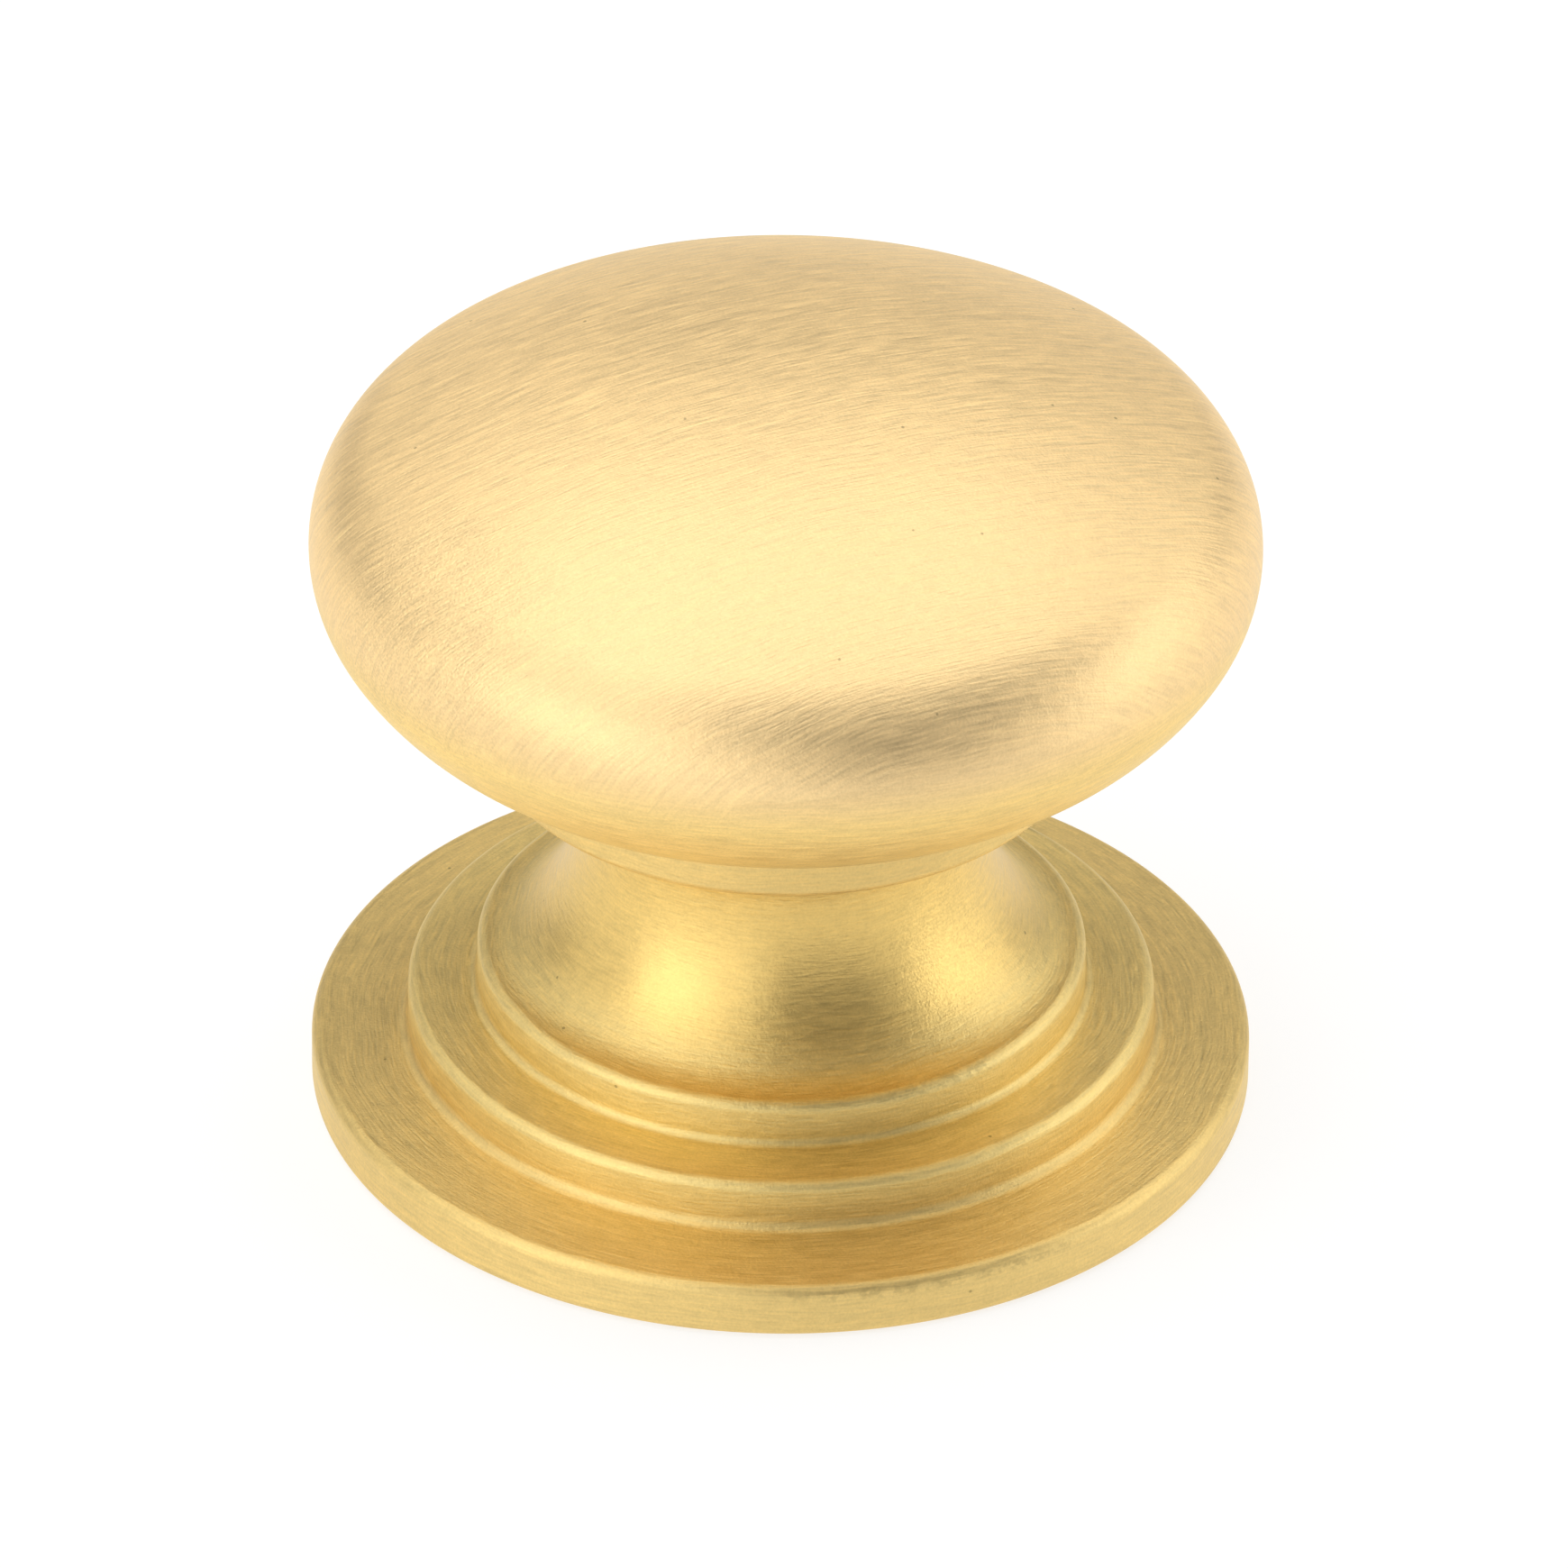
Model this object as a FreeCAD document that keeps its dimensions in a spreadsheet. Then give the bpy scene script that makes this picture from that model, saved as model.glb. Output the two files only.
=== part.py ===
"""Cabinet knob, turned from one piece of solid brass.

The axis of turning is Z, the flat back lies on the plane Z = 0 and the head points to +Z.
From the back upwards the profile has a wide round flange, two steps, a narrow land, a waist
that is one long cove, a plain collar, and a flattened oval head of three tangent arcs.
A blind tapped hole for the fixing screw enters the middle of the back.
All sizes are in millimetres.
"""
import FreeCAD
import Part
import Sketcher
import math
import os

SIZES = {
    # Widths are diameters.
    "base_width": 38.0,
    "lower_step_width": 30.2,
    "upper_step_width": 24.6,
    "neck_width": 16.0,
    "collar_width": 24.2,
    "head_width": 38.0,
    # Heights follow each other up the axis, from the back to the crown.
    "rim_height": 2.3,
    "flange_rise": 0.25,
    "lower_step_rise": 2.1,
    "upper_step_rise": 1.95,
    "waist_rise": 9.7,
    "collar_rise": 2.6,
    "underside_rise": 6.45,
    "crown_rise": 8.25,
    # Shape of the waist and the head.
    "land_width": 1.15,
    "upper_cove_radius": 3.0,
    "head_rim_radius": 4.7,
    "head_underside_radius": 8.4,
    # Rounded edges and small fillets that the turning tool leaves.
    "rim_back_round": 0.4,
    "rim_front_round": 0.45,
    "lower_step_round": 0.45,
    "upper_step_round": 0.45,
    "lower_foot_fillet": 0.45,
    "upper_foot_fillet": 0.35,
    "crease_fillet": 0.15,
    "collar_round": 0.4,
    "collar_fillet": 0.25,
    # Tapped hole in the back: tap drill for an M4 screw.
    "bore_width": 3.3,
    "bore_depth": 14.0,
    "bore_mouth_width": 4.6,
    "bore_mouth_angle": 90.0,
    "bore_point_angle": 118.0,
}

# How a sketch numbers the points of a curve, a whole curve, its own origin and its upright axis.
START, END, CENTRE = range(1, 4)
WHOLE = 0
ORIGIN = -1
VERTICAL_AXIS = -2


def add_sheet(doc):
    """Write the driving sizes into a spreadsheet, each with its own alias."""
    sheet = doc.addObject("Spreadsheet::Sheet", "sizes")
    for row, (name, number) in enumerate(SIZES.items(), start=1):
        sheet.set(f"A{row}", name)
        sheet.set(f"B{row}", str(number))
        sheet.setAlias(f"B{row}", name)
    doc.recompute()
    return sheet


def origin_plane(body, role):
    """Return the body's own origin plane of that role."""
    return next(plane for plane in body.Origin.OriginFeatures if plane.Role == role)


def add_sketch(body, name, role):
    """Add a sketch on one of the body's origin planes."""
    sketch = body.newObject("Sketcher::SketchObject", name)
    sketch.AttachmentSupport = [(origin_plane(body, role), "")]
    sketch.MapMode = "FlatFace"
    return sketch


def point(across, up):
    """Return a point of a sketch."""
    return FreeCAD.Vector(across, up, 0)


def line(sketch, start, end):
    """Add a straight line and return its index."""
    return sketch.addGeometry(Part.LineSegment(point(*start), point(*end)), False)


def arc(sketch, centre, radius, first, last):
    """Add an arc that runs anticlockwise between two angles in radians, and return its index."""
    circle = Part.Circle(point(*centre), FreeCAD.Vector(0, 0, 1), radius)
    return sketch.addGeometry(Part.ArcOfCircle(circle, first, last), False)


def fix(sketch, constraint, expression):
    """Add a dimension and bind it to an expression of the sheet's sizes."""
    index = sketch.addConstraint(constraint)
    sketch.setExpression(f"Constraints[{index}]", expression)


def fix_x(sketch, geometry, position, value, expression):
    """Set how far a point is from the axis."""
    fix(sketch, Sketcher.Constraint("DistanceX", ORIGIN, START, geometry, position, value), expression)


def fix_y(sketch, geometry, position, value, expression):
    """Set how far a point is above the back."""
    fix(sketch, Sketcher.Constraint("DistanceY", ORIGIN, START, geometry, position, value), expression)


def on_axis(sketch, geometry, position):
    """Keep a point on the axis of turning."""
    sketch.addConstraint(Sketcher.Constraint("PointOnObject", geometry, position, VERTICAL_AXIS))


def join(sketch, lines):
    """Join each line's end to the next line's start."""
    for here, following in zip(lines, lines[1:]):
        sketch.addConstraint(Sketcher.Constraint("Coincident", here, END, following, START))


def revolve(body, sketch, name):
    """Turn a sketch once round the axis."""
    feature = body.newObject("PartDesign::Revolution", name)
    feature.Profile = sketch
    feature.ReferenceAxis = (sketch, ["V_Axis"])
    feature.Angle = 360.0
    return feature


def heights(size):
    """Return the height of each level of the profile above the back, and the words that give it."""
    rises = [
        ("rim", "rim_height"),
        ("flange", "flange_rise"),
        ("tread", "lower_step_rise"),
        ("land", "upper_step_rise"),
        ("collar_foot", "waist_rise"),
        ("collar_top", "collar_rise"),
        ("widest", "underside_rise"),
        ("crown", "crown_rise"),
    ]
    level = {}
    words = {}
    total = 0.0
    terms = []
    for name, rise in rises:
        total += size[rise]
        terms.append(f"sizes.{rise}")
        level[name] = total
        words[name] = " + ".join(terms)
    return level, words


def draw_base(body, size, level, words):
    """Draw the flange and the two steps as a stepped outline with sharp corners."""
    sketch = add_sketch(body, "BaseProfile", "XZ_Plane")
    edge = size["base_width"] / 2
    lower = size["lower_step_width"] / 2
    upper = size["upper_step_width"] / 2
    corners = [
        (0, 0),
        (edge, 0),
        (edge, level["rim"]),
        (lower, level["flange"]),
        (lower, level["tread"]),
        (upper, level["tread"]),
        (upper, level["land"]),
        (0, level["land"]),
    ]
    back, rim, flange, lower_wall, tread, upper_wall, top, axis = [
        line(sketch, start, end) for start, end in zip(corners, corners[1:] + corners[:1])
    ]
    join(sketch, [back, rim, flange, lower_wall, tread, upper_wall, top, axis, back])
    sketch.addConstraint(Sketcher.Constraint("Coincident", back, START, ORIGIN, START))
    for flat in (back, tread, top):
        sketch.addConstraint(Sketcher.Constraint("Horizontal", flat))
    for upright in (rim, lower_wall, upper_wall, axis):
        sketch.addConstraint(Sketcher.Constraint("Vertical", upright))
    fix_x(sketch, rim, END, edge, "sizes.base_width / 2")
    fix_y(sketch, rim, END, level["rim"], words["rim"])
    fix_x(sketch, flange, END, lower, "sizes.lower_step_width / 2")
    fix_y(sketch, flange, END, level["flange"], words["flange"])
    fix_y(sketch, tread, START, level["tread"], words["tread"])
    fix_x(sketch, tread, END, upper, "sizes.upper_step_width / 2")
    fix_y(sketch, upper_wall, END, level["land"], words["land"])
    return sketch


def draw_waist(body, size, level, words):
    """Draw the cove and the collar: a long arc up to the neck, and a short arc out to the collar."""
    sketch = add_sketch(body, "WaistProfile", "XZ_Plane")
    crease = size["upper_step_width"] / 2 - size["land_width"]
    neck = size["neck_width"] / 2
    collar = size["collar_width"] / 2
    short = size["upper_cove_radius"]
    neck_level = level["collar_foot"] - short
    flare = crease - neck
    drop = neck_level - level["land"]
    long = (flare**2 + drop**2) / (2 * flare)
    end_angle = math.pi + math.atan2(drop, long - flare)

    long_arc = arc(sketch, (neck + long, neck_level), long, math.pi, end_angle)
    short_arc = arc(sketch, (neck + short, neck_level), short, math.pi / 2, math.pi)
    underside = line(sketch, (neck + short, level["collar_foot"]), (collar, level["collar_foot"]))
    wall = line(sketch, (collar, level["collar_foot"]), (collar, level["collar_top"]))
    top = line(sketch, (collar, level["collar_top"]), (0, level["collar_top"]))
    axis = line(sketch, (0, level["collar_top"]), (0, level["land"]))
    seat = line(sketch, (0, level["land"]), (crease, level["land"]))

    join(sketch, [underside, wall, top, axis, seat])
    sketch.addConstraint(Sketcher.Constraint("Coincident", seat, END, long_arc, END))
    sketch.addConstraint(Sketcher.Constraint("Tangent", long_arc, START, short_arc, END))
    sketch.addConstraint(Sketcher.Constraint("Tangent", short_arc, START, underside, START))
    for flat in (underside, top, seat):
        sketch.addConstraint(Sketcher.Constraint("Horizontal", flat))
    sketch.addConstraint(Sketcher.Constraint("Vertical", wall))
    on_axis(sketch, top, END)
    on_axis(sketch, axis, END)
    sketch.addConstraint(Sketcher.Constraint("Horizontal", short_arc, CENTRE, short_arc, END))
    fix(sketch, Sketcher.Constraint("Radius", short_arc, short), "sizes.upper_cove_radius")
    fix_x(sketch, short_arc, END, neck, "sizes.neck_width / 2")
    fix_x(sketch, wall, START, collar, "sizes.collar_width / 2")
    fix_y(sketch, wall, START, level["collar_foot"], words["collar_foot"])
    fix_y(sketch, wall, END, level["collar_top"], words["collar_top"])
    fix_x(sketch, seat, END, crease, "sizes.upper_step_width / 2 - sizes.land_width")
    fix_y(sketch, seat, END, level["land"], words["land"])
    return sketch


def draw_head(body, size, level, words):
    """Draw the head: a dome arc centred on the axis, a small rim arc and an underside arc."""
    sketch = add_sketch(body, "HeadProfile", "XZ_Plane")
    rim = size["head_rim_radius"]
    under = size["head_underside_radius"]
    collar = size["collar_width"] / 2
    rim_x = size["head_width"] / 2 - rim
    rim_y = level["widest"]
    rise = level["crown"] - rim_y

    # The dome touches the rim circle from outside, and its centre is on the axis.
    dome = (rim_x**2 + rise**2 - rim**2) / (2 * (rise - rim))
    dome_y = level["crown"] - dome
    dome_angle = math.atan2(rim_y - dome_y, rim_x)

    # The underside circle touches the rim circle too, and passes through the collar's top corner.
    gap = math.hypot(collar - rim_x, level["collar_top"] - rim_y)
    along = ((under - rim) ** 2 - under**2 + gap**2) / (2 * gap)
    aside = math.sqrt((under - rim) ** 2 - along**2)
    across = ((collar - rim_x) / gap, (level["collar_top"] - rim_y) / gap)
    under_x = rim_x + along * across[0] + aside * across[1]
    under_y = rim_y + along * across[1] - aside * across[0]
    under_angle = math.atan2(rim_y - under_y, rim_x - under_x)
    collar_angle = math.atan2(level["collar_top"] - under_y, collar - under_x)

    dome_arc = arc(sketch, (0, dome_y), dome, dome_angle, math.pi / 2)
    rim_arc = arc(sketch, (rim_x, rim_y), rim, under_angle, dome_angle)
    under_arc = arc(sketch, (under_x, under_y), under, collar_angle, under_angle)
    seat = line(sketch, (collar, level["collar_top"]), (0, level["collar_top"]))
    axis = line(sketch, (0, level["collar_top"]), (0, level["crown"]))

    sketch.addConstraint(Sketcher.Constraint("Tangent", dome_arc, START, rim_arc, END))
    sketch.addConstraint(Sketcher.Constraint("Tangent", rim_arc, START, under_arc, END))
    sketch.addConstraint(Sketcher.Constraint("Coincident", under_arc, START, seat, START))
    sketch.addConstraint(Sketcher.Constraint("Coincident", seat, END, axis, START))
    sketch.addConstraint(Sketcher.Constraint("Coincident", axis, END, dome_arc, END))
    sketch.addConstraint(Sketcher.Constraint("Horizontal", seat))
    on_axis(sketch, dome_arc, CENTRE)
    on_axis(sketch, axis, START)
    on_axis(sketch, axis, END)
    fix(sketch, Sketcher.Constraint("Radius", rim_arc, rim), "sizes.head_rim_radius")
    fix_x(sketch, rim_arc, CENTRE, rim_x, "sizes.head_width / 2 - sizes.head_rim_radius")
    fix_y(sketch, rim_arc, CENTRE, rim_y, words["widest"])
    fix(sketch, Sketcher.Constraint("Radius", under_arc, under), "sizes.head_underside_radius")
    fix_x(sketch, seat, START, collar, "sizes.collar_width / 2")
    fix_y(sketch, seat, START, level["collar_top"], words["collar_top"])
    fix_y(sketch, axis, END, level["crown"], words["crown"])
    return sketch


def runs_round(edge, radius, height):
    """Tell whether an edge is the circle of that radius round the axis at that height."""
    slack = 1e-4
    if edge.Degenerated or not isinstance(edge.Curve, Part.Circle):
        return False
    centre = FreeCAD.Vector(0, 0, height)
    return abs(edge.Curve.Radius - radius) < slack and edge.Curve.Center.isEqual(centre, slack)


def round_edge(body, name, radius, height, size_name):
    """Round the one circular edge of that radius at that height."""
    edges = enumerate(body.Tip.Shape.Edges, start=1)
    found = [f"Edge{number}" for number, edge in edges if runs_round(edge, radius, height)]
    if len(found) != 1:
        raise RuntimeError(f"{name}: {len(found)} edges at radius {radius}, height {height}")
    base = body.Tip
    fillet = body.newObject("PartDesign::Fillet", name)
    fillet.Base = (base, found)
    fillet.setExpression("Radius", f"sizes.{size_name}")
    body.Document.recompute()


def round_edges(body, size, level):
    """Round the edges and fill the inner corners as turning and finishing leave them."""
    base = size["base_width"] / 2
    lower = size["lower_step_width"] / 2
    upper = size["upper_step_width"] / 2
    collar = size["collar_width"] / 2
    crease = upper - size["land_width"]
    round_edge(body, "RimBack", base, 0, "rim_back_round")
    round_edge(body, "RimFront", base, level["rim"], "rim_front_round")
    round_edge(body, "LowerStepLip", lower, level["tread"], "lower_step_round")
    round_edge(body, "LowerStepFoot", lower, level["flange"], "lower_foot_fillet")
    round_edge(body, "UpperStepLip", upper, level["land"], "upper_step_round")
    round_edge(body, "UpperStepFoot", upper, level["tread"], "upper_foot_fillet")
    round_edge(body, "Crease", crease, level["land"], "crease_fillet")
    round_edge(body, "CollarLip", collar, level["collar_foot"], "collar_round")
    round_edge(body, "CollarCorner", collar, level["collar_top"], "collar_fillet")


def drill_back(body, size):
    """Drill the blind tapped hole into the back, with its countersunk mouth and drill point."""
    before = body.Shape.Volume
    sketch = add_sketch(body, "HoleCentre", "XY_Plane")
    sketch.addGeometry(Part.Circle(point(0, 0), FreeCAD.Vector(0, 0, 1), size["bore_width"] / 2), False)
    sketch.addConstraint(Sketcher.Constraint("Coincident", WHOLE, CENTRE, ORIGIN, START))
    fix(sketch, Sketcher.Constraint("Diameter", WHOLE, size["bore_width"]), "sizes.bore_width")
    body.Document.recompute()
    hole = body.newObject("PartDesign::Hole", "FixingHole")
    hole.Profile = sketch
    body.Document.recompute()
    hole.Reversed = True
    hole.DepthType = "Dimension"
    hole.HoleCutType = "Countersink"
    hole.HoleCutCustomValues = True
    hole.DrillPoint = "Angled"
    hole.setExpression("Diameter", "sizes.bore_width")
    hole.setExpression("Depth", "sizes.bore_depth")
    hole.setExpression("HoleCutDiameter", "sizes.bore_mouth_width")
    hole.setExpression("HoleCutCountersinkAngle", "sizes.bore_mouth_angle")
    hole.setExpression("DrillPointAngle", "sizes.bore_point_angle")
    body.Document.recompute()
    if body.Shape.Volume >= before:
        raise RuntimeError("the fixing hole removes nothing")


def make_knob(doc, sheet):
    """Build the knob as one body."""
    size = {name: float(sheet.get(name)) for name in SIZES}
    level, words = heights(size)
    body = doc.addObject("PartDesign::Body", "Knob")
    body.Label = "knob"
    base = draw_base(body, size, level, words)
    revolve(body, base, "Base")
    waist = draw_waist(body, size, level, words)
    revolve(body, waist, "Waist")
    head = draw_head(body, size, level, words)
    revolve(body, head, "Head")
    doc.recompute()
    round_edges(body, size, level)
    drill_back(body, size)
    body.Placement = FreeCAD.Placement()
    return body


def check(doc, bodies):
    """Stop if any object failed, or if a body isn't one valid solid."""
    for thing in doc.Objects:
        if "Invalid" in thing.State or "Error" in thing.State:
            raise RuntimeError(f"{thing.Name} failed: {thing.State}")
    for body in bodies:
        shape = body.Shape
        if shape.isNull() or not shape.isValid() or len(shape.Solids) != 1:
            raise RuntimeError(f"{body.Label} isn't one valid solid")


def main():
    doc = FreeCAD.newDocument("cabinet_knob")
    sheet = add_sheet(doc)
    knob = make_knob(doc, sheet)
    doc.recompute()
    bodies = [knob]
    check(doc, bodies)
    os.makedirs("parts", exist_ok=True)
    for body in bodies:
        body.Shape.exportStep(f"parts/{body.Label}.step")
        box = body.Shape.optimalBoundingBox(True, False)
        print(body.Label, "width", round(box.XLength, 3), "height", round(box.ZLength, 3),
              "volume", round(body.Shape.Volume, 1), "faces", len(body.Shape.Faces))


main()
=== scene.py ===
"""Looks of a cabinet knob, turned from one piece of solid brass and brushed by hand.

The knob stands on its flat back, with the axis of turning along Z. All sizes are in metres.
"""
import math

import bpy
from mathutils import Euler, Matrix, Vector


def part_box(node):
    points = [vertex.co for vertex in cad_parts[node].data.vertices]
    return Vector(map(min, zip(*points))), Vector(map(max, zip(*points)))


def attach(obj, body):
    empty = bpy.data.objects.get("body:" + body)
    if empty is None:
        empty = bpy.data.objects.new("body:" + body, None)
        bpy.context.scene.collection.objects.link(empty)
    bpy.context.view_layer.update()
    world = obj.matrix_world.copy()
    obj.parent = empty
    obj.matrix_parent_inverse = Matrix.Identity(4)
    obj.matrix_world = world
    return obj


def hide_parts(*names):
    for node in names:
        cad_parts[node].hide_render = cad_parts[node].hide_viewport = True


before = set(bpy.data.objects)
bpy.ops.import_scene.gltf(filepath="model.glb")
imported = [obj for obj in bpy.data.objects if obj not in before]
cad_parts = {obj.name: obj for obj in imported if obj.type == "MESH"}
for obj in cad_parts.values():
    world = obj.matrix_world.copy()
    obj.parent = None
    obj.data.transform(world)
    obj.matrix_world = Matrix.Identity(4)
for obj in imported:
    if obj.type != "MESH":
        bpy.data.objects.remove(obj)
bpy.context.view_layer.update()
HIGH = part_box("knob")[1]

# Radii of the turned outline, from the widest disc inwards.
BASE_RADIUS = HIGH.x
LOWER_STEP_RADIUS = 0.0151
UPPER_STEP_RADIUS = 0.0123
NECK_RADIUS = 0.008
COLLAR_RADIUS = 0.0121
HEAD_RADIUS = HIGH.x

# Levels above the back.
RIM_LEVEL = 0.0023
FLANGE_LEVEL = 0.00255
TREAD_LEVEL = 0.00465
LAND_LEVEL = 0.0066
COLLAR_FOOT = 0.0163
COLLAR_TOP = 0.0189
WIDEST_LEVEL = 0.02535
CROWN_LEVEL = HIGH.z

# Arcs of the waist and the head.
LAND_WIDTH = 0.00115
UPPER_COVE_RADIUS = 0.003
HEAD_RIM_RADIUS = 0.0047
HEAD_UNDERSIDE_RADIUS = 0.0084

# Rounded edges and small inner fillets.
RIM_BACK_ROUND = 0.0004
RIM_FRONT_ROUND = 0.00045
LOWER_STEP_ROUND = 0.00045
UPPER_STEP_ROUND = 0.00045
LOWER_FOOT_FILLET = 0.00045
UPPER_FOOT_FILLET = 0.00035
WAIST_FOOT_ROUND = 0.0019
COLLAR_ROUND = 0.0004
COLLAR_FILLET = 0.00025

# Tapped hole in the back, for an M4 screw.
BORE_RADIUS = 0.00165
BORE_DEPTH = 0.014
BORE_MOUTH_RADIUS = 0.0023
BORE_POINT_ANGLE = math.radians(118)
THREAD_RADIUS = 0.002
THREAD_PITCH = 0.0007
THREAD_ROOT_FLAT = THREAD_PITCH / 8
THREAD_DEPTH = 0.011
THREAD_FLANK_ANGLE = math.radians(30)
THREAD_OVERLAP = THREAD_PITCH / 5

# How finely the outline and its turning are divided.
TURN_STEPS = 256
THREAD_STEPS = 64
ROUND_STEPS = 12
ARC_STEPS = 40
SUPPORT = 0.00005
MERGE = 0.0000005
SMOOTH_ANGLE = math.radians(30)

# How much of the floor's white the knob can shade, how much stays, and the white that lights it.
FLOOR_SHADOW = 0.3
FLOOR_GLOW = 0.74
FLOOR_WHITE = 0.9
FLOOR_RADIUS = 2.0
FLOOR_GAP = 0.00005

# Where the lamps hang and look, and how bright the room behind them is.
LAMP_DISTANCE = 0.7
LAMP_TARGET = Vector((0, 0, 0.018))
ROOM_LIGHT = 0.23

# Direction that the hand strokes of the head cross.
STROKE_NORMAL = Vector((-0.372, 0.837, 0.402)).normalized()

# How squarely the surface may face that direction before the strokes fade and end.
STROKES_FADE = 0.75
STROKES_END = 0.93

# Levels between which the turned finish gives way to the strokes over the head.
HEAD_EDGE_LOW = 0.0235
HEAD_EDGE_HIGH = 0.0262
RAGGED_CELL = 0.0014
RAGGED_REACH = 0.0012

# Fine strokes, the broader streaks among them, and how both waver.
FIBRE_WIDTH = 0.0001
FIBRE_LENGTH = 0.0014
FIBRES_PER_RADIAN = 12.0
STREAK_WIDTH = 0.00025
STREAK_LENGTH = 0.006
STREAKS_PER_RADIAN = 3.0
STREAK_SHARE = 0.3
STROKE_CONTRAST = 1.3
SWAY_CELL = 0.004
SWAY = 0.0005

# Heights of the relief, where 1 is the depth of a stroke.
STROKE_DEPTH = 0.00001
GRAIN_CELL = 0.00011
GRAIN_HEIGHT = 0.55
RUBBED_HEIGHT = 1.2
MOTTLE_CELL = 0.0006
MOTTLE_HEIGHT = 1.6

# The waist is buffed smoother between these levels.
WAIST_STARTS = (0.0068, 0.0085)
WAIST_ENDS = (0.0160, 0.0145)
WAIST_HEIGHT = 0.65
WAIST_ROUGHNESS = 0.8

# Roughness in and between the strokes, and how far it draws the highlights out.
ROUGHNESS_LOW = 0.45
ROUGHNESS_HIGH = 0.57
DRAWN_OUT = 0.45

# Tones of the brass. Part is painted light and shade: paler on the head, deeper in the waist and
# collar.
FLANGE_BRASS = (0.81, 0.605, 0.24, 1)
STEP_BRASS = (0.85, 0.66, 0.268, 1)
# Painted shade: the waist is deeper, where shade falls in the cove.
WAIST_BRASS_PAINTED_SHADE = (0.84, 0.605, 0.21, 1)
# Painted shade: the collar is deeper, under the overhang of the head.
COLLAR_BRASS_PAINTED_SHADE = (0.82, 0.605, 0.235, 1)
UNDERSIDE_BRASS = (0.90, 0.67, 0.265, 1)
# Painted highlight: the head is paler, where its highlights lie.
HEAD_BRASS_PAINTED_HIGHLIGHT = (0.915, 0.68, 0.348, 1)

# Shares of the tone that are left in the dark marks, in the painted shade of the corner over the
# collar, and in the strokes.
PIT_SHADE = 0.6
SCUFF_SHADE = 0.82
PAINTED_CORNER_SHADE = 0.8
STROKE_SHADE = 0.10
MOTTLE_SHADE = 0.04

# How far up the underside of the head the painted shade in the corner over the collar fades.
PAINTED_CORNER_SHADE_FADE = 0.0026

# Pits: their spacing, and the size of core and edge as shares of it.
PIT_SPACING = 0.0025
PIT_CORE = 0.020
PIT_EDGE = 0.036

# Places where the brushing is rubbed to a speckle, and how far that reaches.
RUBBED_RIM = (-0.0141, -0.0105, 0.0272)
RUBBED_RIM_REACH = 0.007
RUBBED_WAIST = (0.0071, -0.0057, 0.0100)
RUBBED_WAIST_REACH = 0.004

# Middles and reach of the scuffed stretches of edge, and how wide and broken they are.
SCUFFED_RIM = (0.0062, -0.0180, 0.0019)
SCUFFED_RIM_REACH = 0.009
SCUFFED_STEP = (0.0067, -0.0102, 0.0064)
SCUFFED_STEP_REACH = 0.004
SCUFF_CORE = 0.0001
SCUFF_EDGE = 0.0003
SCUFF_CELL = 0.0003
SCUFF_GAPS = (0.42, 0.62)


class Pen:
    """Draws the outline in the XZ plane by extruding and spinning one vertex."""

    def __init__(self, x, z):
        """Start the outline at a point."""
        bpy.ops.object.select_all(action="DESELECT")
        bpy.ops.mesh.primitive_plane_add(size=SUPPORT, location=(x, 0, z))
        bpy.ops.object.mode_set(mode="EDIT")
        bpy.ops.mesh.select_all(action="SELECT")
        bpy.ops.mesh.merge(type="CENTER")
        self.x = x
        self.z = z

    def move(self, x, z):
        """Draw one straight edge."""
        shift = (x - self.x, 0, z - self.z)
        bpy.ops.mesh.extrude_region_move(TRANSFORM_OT_translate={"value": shift})
        self.x = x
        self.z = z

    def line(self, x, z):
        """Draw a straight stretch, with a vertex near each end so that it shades flat."""
        length = math.hypot(x - self.x, z - self.z)
        if length > 4 * SUPPORT:
            across = (x - self.x) / length * SUPPORT
            up = (z - self.z) / length * SUPPORT
            self.move(self.x + across, self.z + up)
            self.move(x - across, z - up)
        self.move(x, z)

    def bend(self, centre, x, z, steps):
        """Draw an arc round a centre."""
        first = math.atan2(self.z - centre[1], self.x - centre[0])
        last = math.atan2(z - centre[1], x - centre[0])
        angle = (last - first + math.pi) % math.tau - math.pi
        pivot = (centre[0], 0, centre[1])
        bpy.ops.mesh.spin(steps=steps, angle=angle, center=pivot, axis=(0, 1, 0))
        self.x = x
        self.z = z

    def corner(self, x, z, next_x, next_z, radius):
        """Draw up to a corner and round it off towards the next point."""
        here = Vector((self.x - x, self.z - z)).normalized()
        there = Vector((next_x - x, next_z - z)).normalized()
        half = here.angle(there) / 2
        reach = radius / math.tan(half)
        middle = (here + there).normalized() * (radius / math.sin(half))
        self.line(x + here.x * reach, z + here.y * reach)
        end = (x + there.x * reach, z + there.y * reach)
        self.bend((x + middle.x, z + middle.y), *end, ROUND_STEPS)


def draw_base(pen):
    """Draw the back, the flange and the two steps, up to the land that the waist stands on."""
    pen.corner(BASE_RADIUS, 0, BASE_RADIUS, RIM_LEVEL, RIM_BACK_ROUND)
    pen.corner(BASE_RADIUS, RIM_LEVEL, LOWER_STEP_RADIUS, FLANGE_LEVEL, RIM_FRONT_ROUND)
    pen.corner(LOWER_STEP_RADIUS, FLANGE_LEVEL, LOWER_STEP_RADIUS, TREAD_LEVEL, LOWER_FOOT_FILLET)
    pen.corner(LOWER_STEP_RADIUS, TREAD_LEVEL, UPPER_STEP_RADIUS, TREAD_LEVEL, LOWER_STEP_ROUND)
    pen.corner(UPPER_STEP_RADIUS, TREAD_LEVEL, UPPER_STEP_RADIUS, LAND_LEVEL, UPPER_FOOT_FILLET)
    pen.corner(UPPER_STEP_RADIUS, LAND_LEVEL, NECK_RADIUS, LAND_LEVEL, UPPER_STEP_ROUND)


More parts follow.
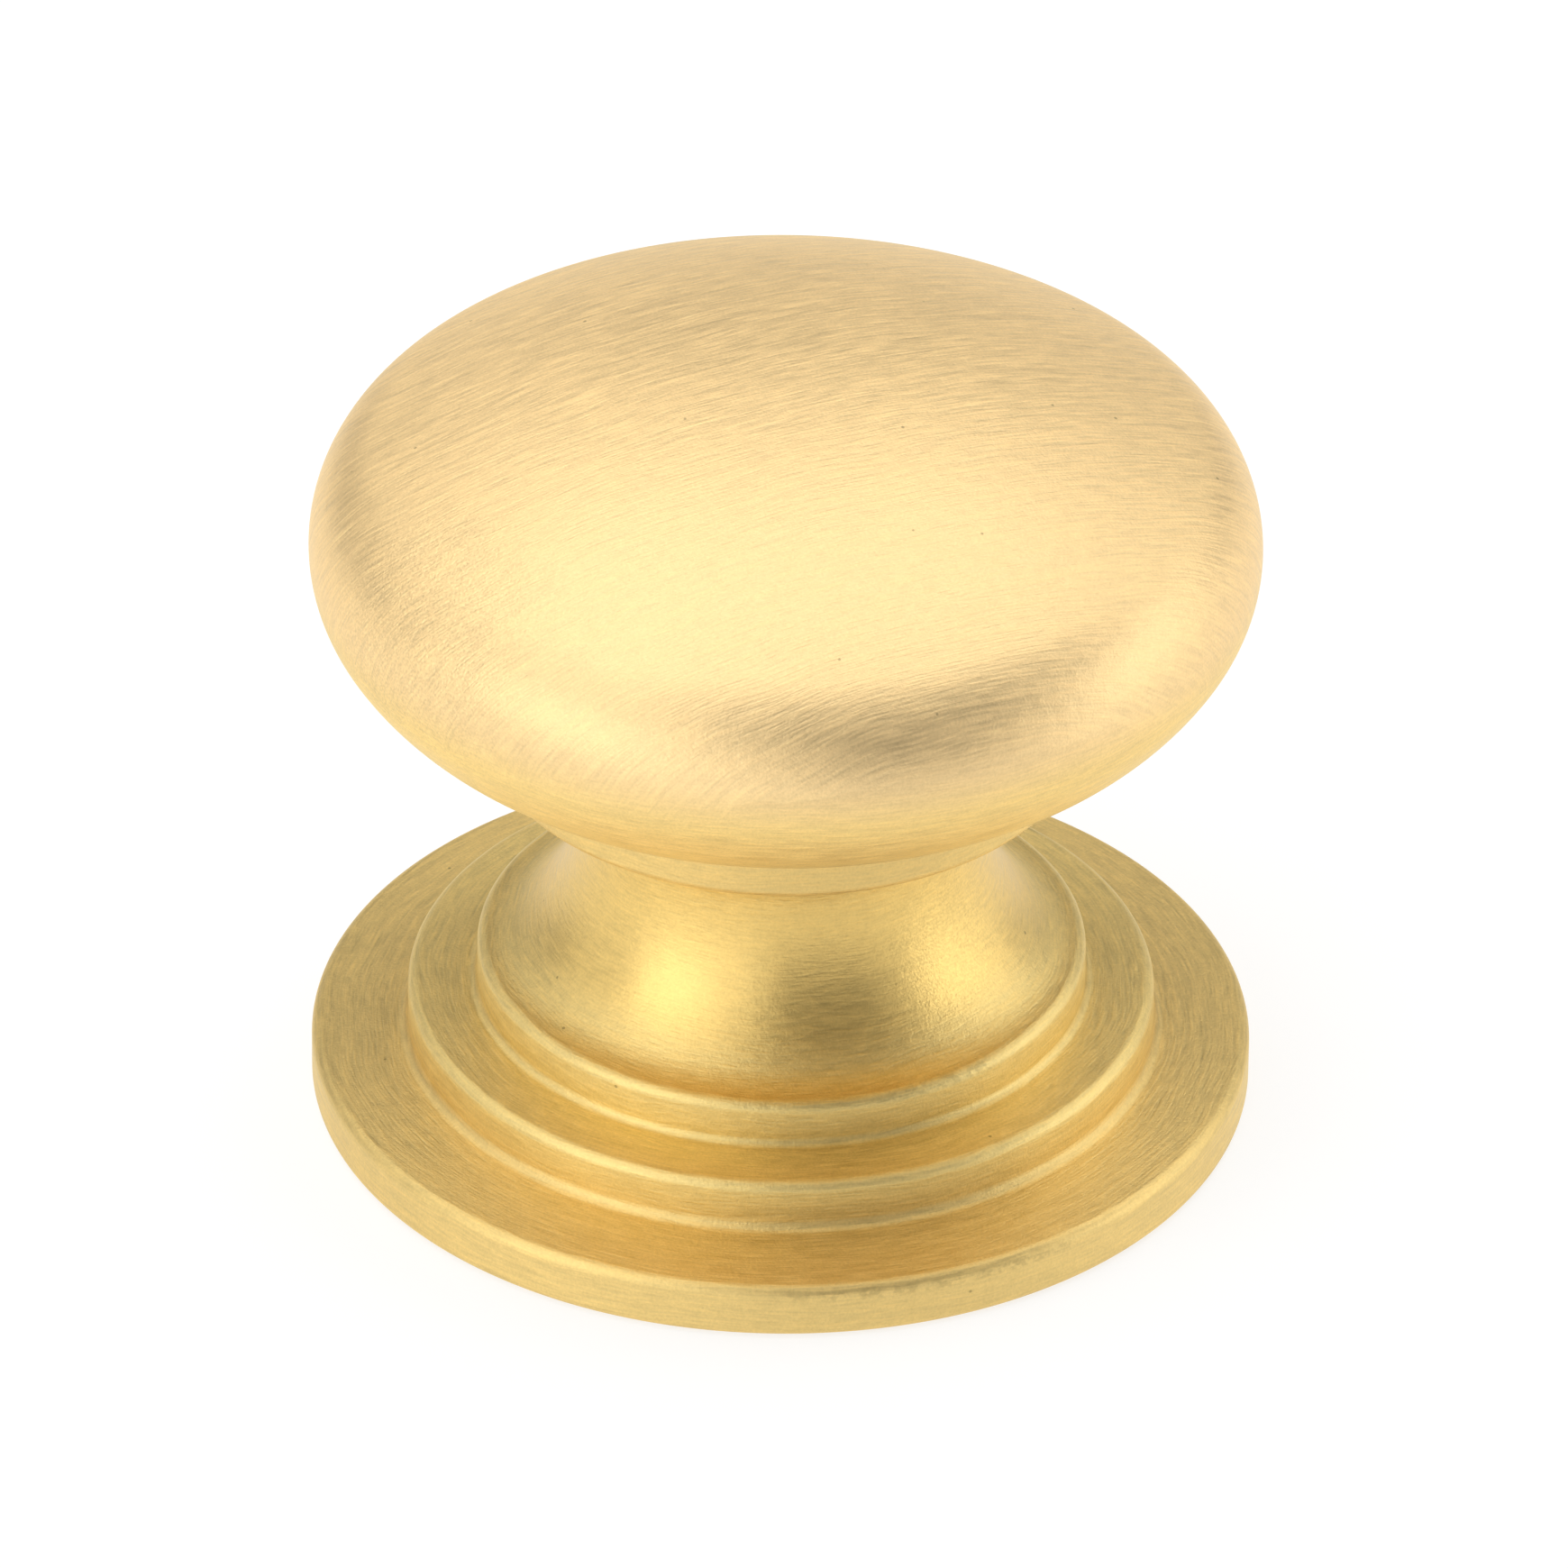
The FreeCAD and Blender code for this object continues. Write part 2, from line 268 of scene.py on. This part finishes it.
def draw_waist(pen):
    """Draw the soft foot, the long cove up to the neck and the short cove out to the collar."""
    neck_level = COLLAR_FOOT - UPPER_COVE_RADIUS
    flare = UPPER_STEP_RADIUS - LAND_WIDTH - NECK_RADIUS
    drop = neck_level - LAND_LEVEL
    long_radius = (flare**2 + drop**2) / (2 * flare)
    cove = Vector((NECK_RADIUS + long_radius, neck_level))

    foot_level = LAND_LEVEL + WAIST_FOOT_ROUND
    inner = long_radius - WAIST_FOOT_ROUND
    foot = Vector((cove.x - math.sqrt(inner**2 - (cove.y - foot_level) ** 2), foot_level))
    touch = cove + (foot - cove) * (long_radius / inner)
    pen.line(foot.x, LAND_LEVEL)
    pen.bend(foot, touch.x, touch.y, ROUND_STEPS)
    pen.bend(cove, NECK_RADIUS, neck_level, ARC_STEPS)
    short = (NECK_RADIUS + UPPER_COVE_RADIUS, neck_level)
    pen.bend(short, short[0], COLLAR_FOOT, ROUND_STEPS)


def draw_head(pen):
    """Draw the collar and the three tangent arcs of the head, up to the crown."""
    rim = Vector((HEAD_RADIUS - HEAD_RIM_RADIUS, WIDEST_LEVEL))
    rise = CROWN_LEVEL - WIDEST_LEVEL
    dome_radius = (rim.x**2 + rise**2 - HEAD_RIM_RADIUS**2) / (2 * (rise - HEAD_RIM_RADIUS))
    dome = Vector((0, CROWN_LEVEL - dome_radius))

    # The underside passes through the collar's top corner and touches the rim's circle.
    corner = Vector((COLLAR_RADIUS, COLLAR_TOP))
    reach = HEAD_UNDERSIDE_RADIUS - HEAD_RIM_RADIUS
    gap = corner - rim
    along = (reach**2 - HEAD_UNDERSIDE_RADIUS**2 + gap.length_squared) / (2 * gap.length)
    aside = math.sqrt(reach**2 - along**2)
    towards = gap.normalized()
    under = rim + along * towards + aside * Vector((towards.y, -towards.x))

    outer = HEAD_UNDERSIDE_RADIUS + COLLAR_FILLET
    fillet_x = COLLAR_RADIUS + COLLAR_FILLET
    fillet = Vector((fillet_x, under.y - math.sqrt(outer**2 - (fillet_x - under.x) ** 2)))
    leave = under + (fillet - under) * (HEAD_UNDERSIDE_RADIUS / outer)
    touch = under + (rim - under).normalized() * HEAD_UNDERSIDE_RADIUS
    shoulder = dome + (rim - dome).normalized() * dome_radius

    pen.corner(COLLAR_RADIUS, COLLAR_FOOT, COLLAR_RADIUS, COLLAR_TOP, COLLAR_ROUND)
    pen.line(COLLAR_RADIUS, fillet.y)
    pen.bend(fillet, leave.x, leave.y, ROUND_STEPS)
    pen.bend(under, touch.x, touch.y, ARC_STEPS)
    pen.bend(rim, shoulder.x, shoulder.y, ARC_STEPS)
    pen.bend(dome, 0, CROWN_LEVEL, ARC_STEPS)


def turn_knob():
    """Turn the whole outline, from the drill point in the bore round to the crown."""
    point_height = BORE_RADIUS / math.tan(BORE_POINT_ANGLE / 2)
    pen = Pen(0, BORE_DEPTH + point_height)
    pen.move(BORE_RADIUS, BORE_DEPTH)
    pen.move(BORE_RADIUS, BORE_MOUTH_RADIUS - BORE_RADIUS)
    pen.move(BORE_MOUTH_RADIUS, 0)
    draw_base(pen)
    draw_waist(pen)
    draw_head(pen)
    bpy.ops.mesh.select_all(action="SELECT")
    bpy.ops.mesh.spin(steps=TURN_STEPS, angle=math.tau, center=(0, 0, 0), axis=(0, 0, 1))
    bpy.ops.mesh.select_all(action="SELECT")
    bpy.ops.mesh.remove_doubles(threshold=MERGE)
    bpy.ops.mesh.normals_make_consistent(inside=False)
    bpy.ops.object.mode_set(mode="OBJECT")
    bpy.ops.object.transform_apply(location=True, rotation=True, scale=True)
    knob = bpy.context.object
    knob.name = "turned_knob"
    return knob


def make_tap():
    """Make the coil that the tap leaves as a groove in the wall of the bore."""
    inner = BORE_RADIUS - THREAD_OVERLAP
    flank = (THREAD_RADIUS - inner) * math.tan(THREAD_FLANK_ANGLE)
    half_root = THREAD_ROOT_FLAT / 2
    start = -THREAD_PITCH
    pen = Pen(inner, start - half_root - flank)
    pen.move(THREAD_RADIUS, start - half_root)
    pen.move(THREAD_RADIUS, start + half_root)
    pen.move(inner, start + half_root + flank)
    pen.move(inner, start - half_root - flank)
    bpy.ops.mesh.select_all(action="SELECT")
    bpy.ops.mesh.remove_doubles(threshold=MERGE)
    bpy.ops.object.mode_set(mode="OBJECT")
    bpy.ops.object.transform_apply(location=True, rotation=True, scale=True)
    tap = bpy.context.object
    tap.name = "tap"
    turns = tap.modifiers.new("turns", "SCREW")
    turns.axis = "Z"
    turns.angle = math.tau
    turns.screw_offset = THREAD_PITCH
    turns.iterations = round((THREAD_DEPTH - start) / THREAD_PITCH)
    turns.steps = THREAD_STEPS
    turns.render_steps = THREAD_STEPS
    bpy.ops.object.modifier_apply(modifier="turns")
    bpy.ops.object.mode_set(mode="EDIT")
    bpy.ops.mesh.select_all(action="SELECT")
    bpy.ops.mesh.remove_doubles(threshold=MERGE)
    bpy.ops.mesh.select_all(action="DESELECT")
    bpy.ops.mesh.select_non_manifold(extend=False)
    bpy.ops.mesh.edge_face_add()
    bpy.ops.mesh.select_all(action="SELECT")
    bpy.ops.mesh.normals_make_consistent(inside=False)
    bpy.ops.object.mode_set(mode="OBJECT")
    return tap


def cut_thread(knob):
    """Cut the thread into the bore, with the tap half a step round so that no edges meet."""
    tap = make_tap()
    tap.rotation_euler.z = math.pi / TURN_STEPS
    bpy.ops.object.select_all(action="DESELECT")
    bpy.context.view_layer.objects.active = knob
    knob.select_set(True)
    thread = knob.modifiers.new("thread", "BOOLEAN")
    thread.operation = "DIFFERENCE"
    thread.solver = "EXACT"
    thread.object = tap
    bpy.ops.object.modifier_apply(modifier="thread")
    bpy.data.objects.remove(tap)
    bpy.ops.object.mode_set(mode="EDIT")
    bpy.ops.mesh.select_all(action="SELECT")
    bpy.ops.mesh.remove_doubles(threshold=MERGE)
    bpy.ops.object.mode_set(mode="OBJECT")


class Nodes:
    """Short names for adding and linking the nodes of one material."""

    def __init__(self, tree):
        """Clear the tree, to build it from nothing."""
        tree.nodes.clear()
        self.tree = tree

    def add(self, kind, inputs=(), **settings):
        """Add a node, set it up and link or set its inputs by name or number."""
        made = self.tree.nodes.new(kind)
        for name, value in settings.items():
            setattr(made, name, value)
        for key, value in dict(inputs).items():
            self.fill(made.inputs[key], value)
        return made

    def fill(self, socket, value):
        """Link an output to a socket, or set the socket's own value."""
        if isinstance(value, bpy.types.NodeSocket):
            self.tree.links.new(value, socket)
        else:
            socket.default_value = value

    def math(self, operation, first, second=0.0):
        """Return the result of a Math node."""
        return self.add("ShaderNodeMath", {0: first, 1: second}, operation=operation).outputs[0]

    def vector(self, operation, first, second):
        """Return the vector that a Vector Math node gives."""
        made = self.add("ShaderNodeVectorMath", {0: first, 1: second}, operation=operation)
        return made.outputs["Vector"]

    def scale(self, vector, factor):
        """Return a vector or a colour times a number."""
        inputs = {0: vector, "Scale": factor}
        return self.add("ShaderNodeVectorMath", inputs, operation="SCALE").outputs["Vector"]

    def spread(self, value, low, high):
        """Return a value carried from 0..1 to low..high, without a limit."""
        inputs = {"Value": value, "To Min": low, "To Max": high}
        return self.add("ShaderNodeMapRange", inputs, clamp=False).outputs["Result"]

    def step(self, value, start, end):
        """Return 0 below start, 1 above end and a smooth run between them."""
        inputs = {"Value": value, "From Min": start, "From Max": end}
        made = self.add("ShaderNodeMapRange", inputs, interpolation_type="SMOOTHSTEP")
        return made.outputs["Result"]

    def mix(self, kind, factor, first, second):
        """Return a mix of two numbers (FLOAT), vectors (VECTOR) or colours (RGBA)."""
        made = self.add("ShaderNodeMix", data_type=kind)
        names = {"Factor": factor, "A": first, "B": second}
        for socket in made.inputs:
            if socket.enabled and socket.name in names:
                self.fill(socket, names[socket.name])
        return next(socket for socket in made.outputs if socket.enabled)

    def noise(self, place, cell, detail, output="Fac"):
        """Return noise with grains of about one cell."""
        inputs = {"Vector": place, "Scale": 1 / cell, "Detail": detail}
        return self.add("ShaderNodeTexNoise", inputs).outputs[output]

    def near(self, place, point, reach):
        """Return 1 at a point, falling softly to 0 at its reach."""
        made = self.add("ShaderNodeVectorMath", {0: place, 1: point}, operation="DISTANCE")
        return self.step(made.outputs["Value"], reach, reach / 3)


def hand_strokes(n, place, length, width):
    """Return noise drawn out into strokes that cross the head in parallel planes."""
    along = STROKE_NORMAL.cross(Vector((0, 0, 1))).normalized()
    turn = Matrix((along, STROKE_NORMAL, along.cross(STROKE_NORMAL))).transposed().to_euler()
    inputs = {"Vector": place, "Rotation": turn, "Scale": (length, width, length)}
    drawn = n.add("ShaderNodeMapping", inputs, vector_type="TEXTURE").outputs["Vector"]
    return n.noise(drawn, 1.0, 1.0)


def turned_strokes(n, place, per_radian, width):
    """Return noise drawn out into strokes round the axis, some to every radian."""
    x, y, z = n.add("ShaderNodeSeparateXYZ", {0: place}).outputs
    radius = n.math("SQRT", n.math("ADD", n.math("MULTIPLY", x, x), n.math("MULTIPLY", y, y)))
    drawn = n.add("ShaderNodeCombineXYZ", {
        "X": n.math("DIVIDE", radius, width),
        "Y": n.math("DIVIDE", z, width),
        "Z": n.math("MULTIPLY", n.math("DIVIDE", x, radius), per_radian),
    }).outputs["Vector"]
    side = n.math("MULTIPLY", n.math("DIVIDE", y, radius), per_radian)
    inputs = {"Vector": drawn, "W": side, "Scale": 1.0, "Detail": 1.0}
    return n.add("ShaderNodeTexNoise", inputs, noise_dimensions="4D").outputs["Fac"]


def scuff(n, place, level, point, reach):
    """Return 1 in the line of a scuff along an edge, and 0 elsewhere."""
    off = n.math("ABSOLUTE", n.math("SUBTRACT", level, point[2]))
    return n.math("MULTIPLY", n.step(off, SCUFF_EDGE, SCUFF_CORE), n.near(place, point, reach))


def hand_share(n, place, normal, level):
    """Return 1 where the strokes by hand lie, and 0 where the finish is turned.

    They end in a ragged edge below the widest line of the head, and where their planes would
    only graze the surface.
    """
    ragged = n.spread(n.noise(place, RAGGED_CELL, 1.0), -RAGGED_REACH, RAGGED_REACH)
    above = n.step(n.math("ADD", level, ragged), HEAD_EDGE_LOW, HEAD_EDGE_HIGH)
    facing = n.add("ShaderNodeVectorMath", {0: normal, 1: STROKE_NORMAL}, operation="DOT_PRODUCT")
    crossed = n.step(n.math("ABSOLUTE", facing.outputs["Value"]), STROKES_END, STROKES_FADE)
    return n.math("MULTIPLY", above, crossed)


def brush_strokes(n, place, by_hand):
    """Return the height of the strokes, which waver a little."""
    sway = n.vector("SUBTRACT", n.noise(place, SWAY_CELL, 0.0, "Color"), (0.5, 0.5, 0.5))
    swayed = n.vector("ADD", place, n.scale(sway, SWAY))
    fibres = n.mix("FLOAT", by_hand, turned_strokes(n, swayed, FIBRES_PER_RADIAN, FIBRE_WIDTH),
                   hand_strokes(n, swayed, FIBRE_LENGTH, FIBRE_WIDTH))
    streaks = n.mix("FLOAT", by_hand, turned_strokes(n, swayed, STREAKS_PER_RADIAN, STREAK_WIDTH),
                    hand_strokes(n, swayed, STREAK_LENGTH, STREAK_WIDTH))
    mixed = n.mix("FLOAT", STREAK_SHARE, fibres, streaks)
    return n.spread(mixed, 0.5 - STROKE_CONTRAST, 0.5 + STROKE_CONTRAST)


def rubbed_grain(n, place):
    """Return the grain, which stands out where a hand or the buff has rubbed."""
    grain = n.spread(n.noise(place, GRAIN_CELL, 1.0), -1.0, 1.0)
    rubbed = n.math("ADD", n.near(place, RUBBED_RIM, RUBBED_RIM_REACH),
                    n.near(place, RUBBED_WAIST, RUBBED_WAIST_REACH))
    return n.math("MULTIPLY", grain, n.spread(rubbed, GRAIN_HEIGHT, RUBBED_HEIGHT))


def brass_tone_and_painted_light(n, level):
    """Return the mean colour of the brass from the flange up to the head, with painted light and
    shade.
    """
    steps = n.mix("RGBA", n.step(level, RIM_LEVEL, TREAD_LEVEL), FLANGE_BRASS, STEP_BRASS)
    # Painted shade deepens the waist and the collar, and a painted highlight makes the head
    # paler.
    on_waist = n.step(level, LAND_LEVEL, LAND_LEVEL + WAIST_FOOT_ROUND)
    waist = n.mix("RGBA", on_waist, steps, WAIST_BRASS_PAINTED_SHADE)
    on_collar = n.step(level, COLLAR_FOOT - COLLAR_ROUND, COLLAR_FOOT)
    collar = n.mix("RGBA", on_collar, waist, COLLAR_BRASS_PAINTED_SHADE)
    under = n.mix("RGBA", n.step(level, COLLAR_TOP, HEAD_EDGE_LOW), collar, UNDERSIDE_BRASS)
    return n.mix("RGBA", n.step(level, HEAD_EDGE_LOW, HEAD_EDGE_HIGH), under, HEAD_BRASS_PAINTED_HIGHLIGHT)


def marks_and_painted_shade(n, place, level, relief, mottle):
    """Return the share of the tone that shows. Pits and scuffs stay dark, and the corner over the
    collar is painted shade.
    """
    pits = n.add("ShaderNodeTexVoronoi", {"Vector": place, "Scale": 1 / PIT_SPACING})
    clean = n.step(pits.outputs["Distance"], PIT_CORE, PIT_EDGE)
    lines = n.math("ADD", scuff(n, place, level, SCUFFED_RIM, SCUFFED_RIM_REACH),
                   scuff(n, place, level, SCUFFED_STEP, SCUFFED_STEP_REACH))
    scuffs = n.math("MULTIPLY", lines, n.step(n.noise(place, SCUFF_CELL, 2.0), *SCUFF_GAPS))
    # Painted shade in the corner between the collar and the underside of the head.
    fading = n.step(level, COLLAR_TOP + PAINTED_CORNER_SHADE_FADE, COLLAR_TOP + COLLAR_FILLET)
    corner = n.math("MULTIPLY", n.step(level, COLLAR_TOP - COLLAR_FILLET, COLLAR_TOP), fading)
    shade = n.spread(clean, PIT_SHADE, 1.0)
    for other in (
        n.spread(relief, 1 - STROKE_SHADE, 1 + STROKE_SHADE),
        n.spread(scuffs, 1.0, SCUFF_SHADE),
        n.spread(corner, 1.0, PAINTED_CORNER_SHADE),
        n.spread(mottle, 1 - MOTTLE_SHADE, 1 + MOTTLE_SHADE),
    ):
        shade = n.math("MULTIPLY", shade, other)
    return shade


def brushed_brass():
    """Satin brass: strokes by hand over the head, and turned strokes on all the rest."""
    material = bpy.data.materials.new("brushed_brass")
    material.use_nodes = True
    n = Nodes(material.node_tree)
    place = n.add("ShaderNodeTexCoord").outputs["Object"]
    normal = n.add("ShaderNodeNewGeometry").outputs["Normal"]
    level = n.add("ShaderNodeSeparateXYZ", {0: place}).outputs["Z"]

    by_hand = hand_share(n, place, normal, level)
    strokes = brush_strokes(n, place, by_hand)
    relief = n.math("ADD", strokes, rubbed_grain(n, place))
    mottle = n.noise(place, MOTTLE_CELL, 1.0)
    in_waist = n.math("MULTIPLY", n.step(level, *WAIST_STARTS), n.step(level, *WAIST_ENDS))
    height = n.math("ADD", relief, n.math("MULTIPLY", mottle, MOTTLE_HEIGHT))
    height = n.math("MULTIPLY", height, n.spread(in_waist, 1.0, WAIST_HEIGHT))
    bump = n.add("ShaderNodeBump", {"Height": height, "Distance": STROKE_DEPTH, "Strength": 1.0})

    # The highlights are drawn out across the strokes.
    round_axis = n.vector("CROSS_PRODUCT", (0.0, 0.0, 1.0), place)
    across_planes = n.vector("CROSS_PRODUCT", normal, tuple(STROKE_NORMAL))
    lean = n.mix("VECTOR", n.math("GREATER_THAN", by_hand, 0.5), round_axis, across_planes)
    roughness = n.math("MULTIPLY", n.spread(strokes, ROUGHNESS_LOW, ROUGHNESS_HIGH),
                       n.spread(in_waist, 1.0, WAIST_ROUGHNESS))
    shade = marks_and_painted_shade(n, place, level, relief, mottle)
    brass = n.add("ShaderNodeBsdfPrincipled", {
        "Base Color": n.scale(brass_tone_and_painted_light(n, level), shade),
        "Metallic": 1.0,
        "Roughness": roughness,
        "Anisotropic": DRAWN_OUT,
        "Anisotropic Rotation": 0.25,
        "Tangent": lean,
        "Normal": bump.outputs["Normal"],
    })
    n.add("ShaderNodeOutputMaterial", {"Surface": brass.outputs[0]})
    return material


def make_knob():
    """Turn, tap and finish the knob."""
    knob = turn_knob()
    cut_thread(knob)
    bpy.ops.object.shade_smooth_by_angle(angle=SMOOTH_ANGLE)
    knob.data.materials.clear()
    knob.data.materials.append(brushed_brass())
    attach(knob, "root")
    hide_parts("knob")


def make_floor():
    """Lay a plain white floor with a faint soft shadow of the knob. It is clear from below."""
    bpy.ops.object.select_all(action="DESELECT")
    bpy.ops.mesh.primitive_circle_add(vertices=128, radius=FLOOR_RADIUS, fill_type="NGON",
                                      location=(0, 0, -FLOOR_GAP))
    floor = bpy.context.object
    floor.name = "floor"
    material = bpy.data.materials.new("white_floor")
    material.use_nodes = True
    n = Nodes(material.node_tree)
    white = (FLOOR_WHITE, FLOOR_WHITE, FLOOR_WHITE, 1)
    grey = (FLOOR_SHADOW, FLOOR_SHADOW, FLOOR_SHADOW, 1)
    plain = n.add("ShaderNodeBsdfDiffuse", {"Color": white})
    shadowed = n.add("ShaderNodeBsdfDiffuse", {"Color": grey})
    glow = n.add("ShaderNodeEmission", {"Color": (1, 1, 1, 1), "Strength": FLOOR_GLOW})
    glowing = n.add("ShaderNodeAddShader", {0: shadowed.outputs[0], 1: glow.outputs[0]})
    path = n.add("ShaderNodeLightPath")
    through = path.outputs["Is Transmission Ray"]
    mirrored = n.math("MAXIMUM", path.outputs["Is Glossy Ray"], through)
    seen = n.math("MAXIMUM", path.outputs["Is Camera Ray"], mirrored)
    shown = n.add("ShaderNodeMixShader", {0: seen, 1: plain.outputs[0], 2: glowing.outputs[0]})
    clear = n.add("ShaderNodeBsdfTransparent")
    below = n.add("ShaderNodeNewGeometry").outputs["Backfacing"]
    sided = n.add("ShaderNodeMixShader", {0: below, 1: shown.outputs[0], 2: clear.outputs[0]})
    n.add("ShaderNodeOutputMaterial", {"Surface": sided.outputs[0]})
    floor.data.materials.append(material)


def aim(thing, place, target):
    """Put a lamp or camera in its place, looking at the target."""
    thing.location = place
    thing.rotation_euler = (Vector(target) - Vector(place)).to_track_quat("-Z", "Y").to_euler()


def make_lamp(name, azimuth, elevation, width, height, radiance):
    """Hang a soft box. Azimuth 0 is towards the camera, and positive to its right."""
    turn = math.radians(azimuth)
    rise = math.radians(elevation)
    data = bpy.data.lights.new(name, "AREA")
    data.shape = "RECTANGLE"
    data.size = width
    data.size_y = height
    data.energy = radiance * math.pi * width * height
    lamp = bpy.data.objects.new(name, data)
    bpy.context.scene.collection.objects.link(lamp)
    level = math.cos(rise)
    away = Vector((math.sin(turn) * level, -math.cos(turn) * level, math.sin(rise)))
    aim(lamp, LAMP_TARGET + away * LAMP_DISTANCE, LAMP_TARGET)


def make_lights():
    """Light the knob with soft boxes round it and above it, in a dim plain room."""
    make_lamp("top_box", 180, 80, 0.80, 0.80, 1.48)
    make_lamp("upper_left_box", -45, 52, 0.50, 0.40, 1.08)
    make_lamp("front_left_box", -22, 14, 0.36, 0.45, 1.15)
    make_lamp("left_box", -55, 14, 0.45, 0.45, 1.9)
    make_lamp("left_side_box", -95, 18, 0.40, 0.45, 0.6)
    make_lamp("high_left_box", -85, 45, 0.50, 0.35, 0.6)
    make_lamp("front_right_box", 58, 14, 0.25, 0.43, 0.3)
    make_lamp("right_box", 82, 14, 0.30, 0.43, 1.75)
    make_lamp("right_side_box", 108, 16, 0.35, 0.43, 1.15)
    make_lamp("back_left_box", -130, 42, 0.50, 0.50, 0.62)
    make_lamp("back_right_box", 130, 42, 0.50, 0.50, 0.97)
    make_lamp("back_box", 180, 5, 0.70, 0.25, 0.54)
    world = bpy.data.worlds.new("studio")
    bpy.context.scene.world = world
    world.use_nodes = True
    room = world.node_tree.nodes["Background"]
    room.inputs["Color"].default_value = (1, 1, 1, 1)
    room.inputs["Strength"].default_value = ROOM_LIGHT


def make_camera():
    """Place the camera at the photograph's angle, with its long lens."""
    elevation = math.radians(33.485)
    distance = 0.7023
    target = Vector((0.00003, 0, 0.013788))
    data = bpy.data.cameras.new("camera")
    data.sensor_width = 36
    data.lens = 401.36
    data.clip_start = 0.05
    data.clip_end = 10
    camera = bpy.data.objects.new("camera", data)
    bpy.context.scene.collection.objects.link(camera)
    away = Vector((0, -math.cos(elevation), math.sin(elevation)))
    aim(camera, target + away * distance, target)
    roll = Euler((0, 0, math.radians(0.627))).to_matrix()
    camera.rotation_euler = (camera.rotation_euler.to_matrix() @ roll).to_euler()
    bpy.context.scene.camera = camera


make_camera()
make_knob()
make_floor()
make_lights()
bpy.context.scene.view_settings.view_transform = "Standard"
